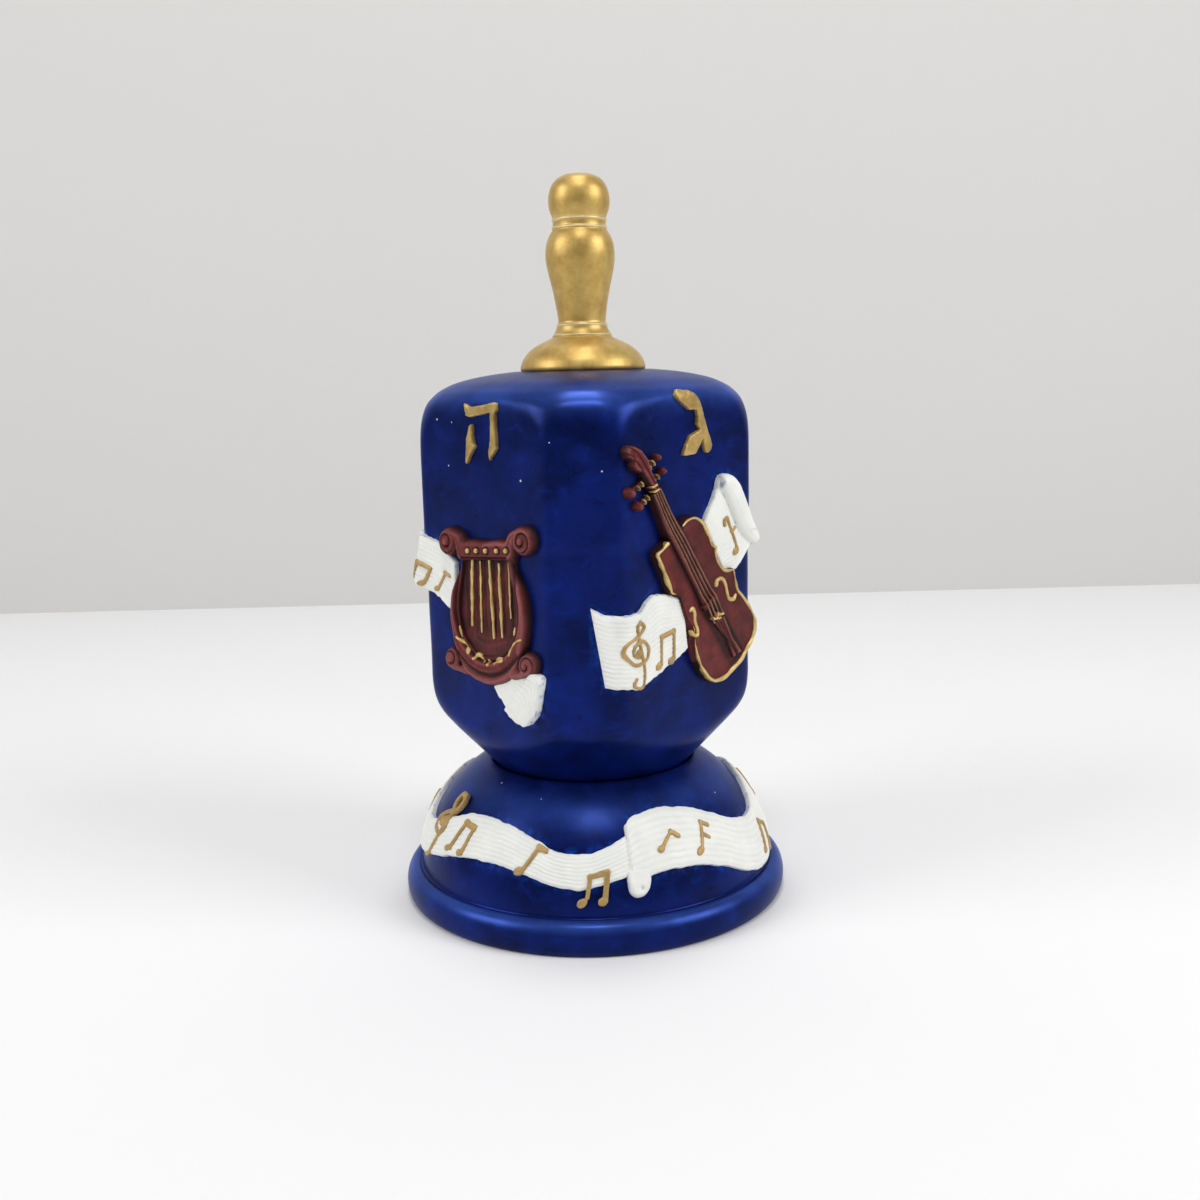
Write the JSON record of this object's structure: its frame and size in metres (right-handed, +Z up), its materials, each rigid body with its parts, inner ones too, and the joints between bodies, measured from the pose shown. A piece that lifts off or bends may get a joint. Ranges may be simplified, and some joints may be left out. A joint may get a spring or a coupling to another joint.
{
  "type": "dreidel",
  "caption": "Four-sided spinning top with a turned handle, painted musical reliefs and staff ribbons, standing point down in the socket of a round domed stand that it lifts out of.",
  "frame": {"origin": "middle of the stand's flat foot, on the table", "axes": "+Z up along the spinning axis, -Y out of the side with the lyre, +X out of the side with the violin"},
  "size_m": [0.0634, 0.0634, 0.1152],
  "materials": {
    "blue_paint": "deep blue brushed paint on cast resin, satin",
    "gold_paint": "dull gold metallic paint on cast resin",
    "maroon_paint": "maroon brushed paint on cast resin, darker in the recesses",
    "white_paint": "white brushed paint on cast resin",
    "steel": "turned steel"
  },
  "bodies": {
    "stand": {"stand": "blue_paint", "stand_ribbon": "white_paint", "stand_notes": "gold_paint"},
    "tip": {"spinning_tip": "steel"},
    "dreidel": {"dreidel_body": "blue_paint", "handle": "gold_paint", "letter_he": "gold_paint", "letter_gimel": "gold_paint", "letter_nun": "gold_paint", "letter_shin": "gold_paint", "lyre_strings": "gold_paint", "lyre_pins": "gold_paint", "lyre_leaves": "gold_paint", "lyre_notes": "gold_paint", "violin_binding": "gold_paint", "violin_peg_shafts": "gold_paint", "violin_nut": "gold_paint", "violin_bridge": "gold_paint", "violin_strings": "gold_paint", "violin_f_holes": "gold_paint", "violin_notes": "gold_paint", "horn_valves": "gold_paint", "horn_notes": "gold_paint", "drum_hoops": "gold_paint", "drum_cords": "gold_paint", "drum_notes": "gold_paint", "lyre_frame": "maroon_paint", "lyre_board": "maroon_paint", "violin_body": "maroon_paint", "violin_neck": "maroon_paint", "violin_head": "maroon_paint", "violin_pegs": "maroon_paint", "violin_tailpiece": "maroon_paint", "horn_tube": "maroon_paint", "horn_bell": "maroon_paint", "drum_shell": "maroon_paint", "drum_sticks": "maroon_paint", "lyre_ribbon_side": "white_paint", "lyre_ribbon_end": "white_paint", "violin_ribbon_lower": "white_paint", "violin_ribbon_upper": "white_paint", "horn_ribbon": "white_paint", "drum_ribbon": "white_paint"}
  },
  "joints": [
    {"name": "lift_off", "type": "slide", "parent": "stand", "child": "tip", "axis": [0, 0, 1], "range_m": [0, 0.06]},
    {"name": "spin", "type": "hinge", "parent": "tip", "child": "dreidel", "pos_m": [0, 0, 0], "axis": [0, 0, 1], "continuous": true}
  ]
}
